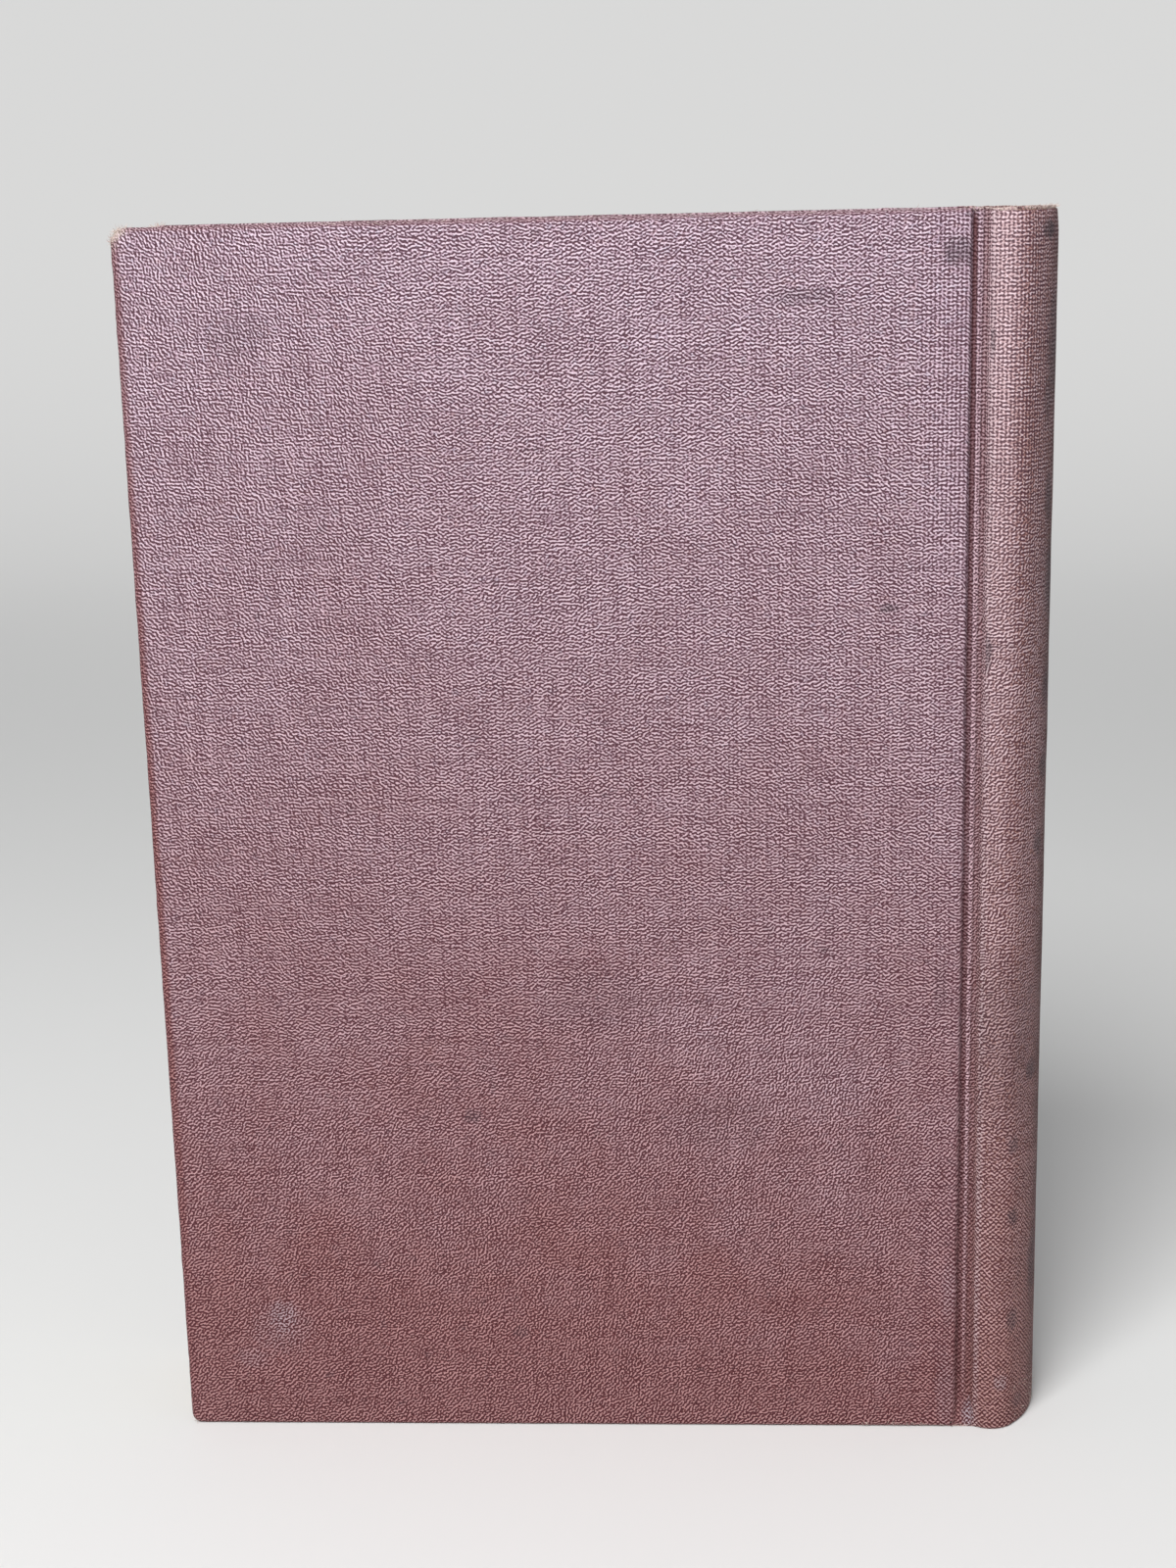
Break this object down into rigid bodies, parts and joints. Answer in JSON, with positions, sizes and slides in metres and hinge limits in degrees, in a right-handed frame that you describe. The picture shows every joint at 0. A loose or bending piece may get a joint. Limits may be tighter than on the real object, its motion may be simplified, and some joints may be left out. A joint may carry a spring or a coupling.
{
  "type": "hardback book",
  "caption": "Cloth-bound hardback book with rounded spine, grooved joints and covers that open on the spine.",
  "frame": {"origin": "middle of the footprint of the closed book, on the surface that its tail stands on", "axes": "+Z from tail to head, +X from the fore-edge to the spine, +Y from the back cover to the front cover"},
  "size_m": [0.1516, 0.0286, 0.21],
  "materials": {
    "book_cloth": "matte",
    "pages": "matte",
    "endpaper": "matte",
    "board": "matte",
    "mull": "matte",
    "lining_paper": "matte",
    "band": "satin"
  },
  "bodies": {
    "book_block": {"text_block": "pages", "back_flyleaf": "endpaper", "front_flyleaf": "endpaper", "spine_mull": "mull", "spine_lining": "lining_paper", "head_band": "band", "tail_band": "band", "spine_inlay": "lining_paper", "spine_cloth": "book_cloth"},
    "back_cover": {"back_board": "board", "back_cover_cloth": "book_cloth", "back_mull_flange": "mull", "back_pastedown": "endpaper"},
    "front_cover": {"front_board": "board", "front_cover_cloth": "book_cloth", "front_mull_flange": "mull", "front_pastedown": "endpaper"}
  },
  "joints": [
    {"name": "back_cover_hinge", "type": "hinge", "parent": "book_block", "child": "back_cover", "pos_m": [0.06216, -0.01465, 0.105], "axis": [0, 0, 1], "range_deg": [0, 180]},
    {"name": "front_cover_hinge", "type": "hinge", "parent": "book_block", "child": "front_cover", "pos_m": [0.06216, 0.01465, 0.105], "axis": [0, 0, -1], "range_deg": [0, 180]}
  ]
}
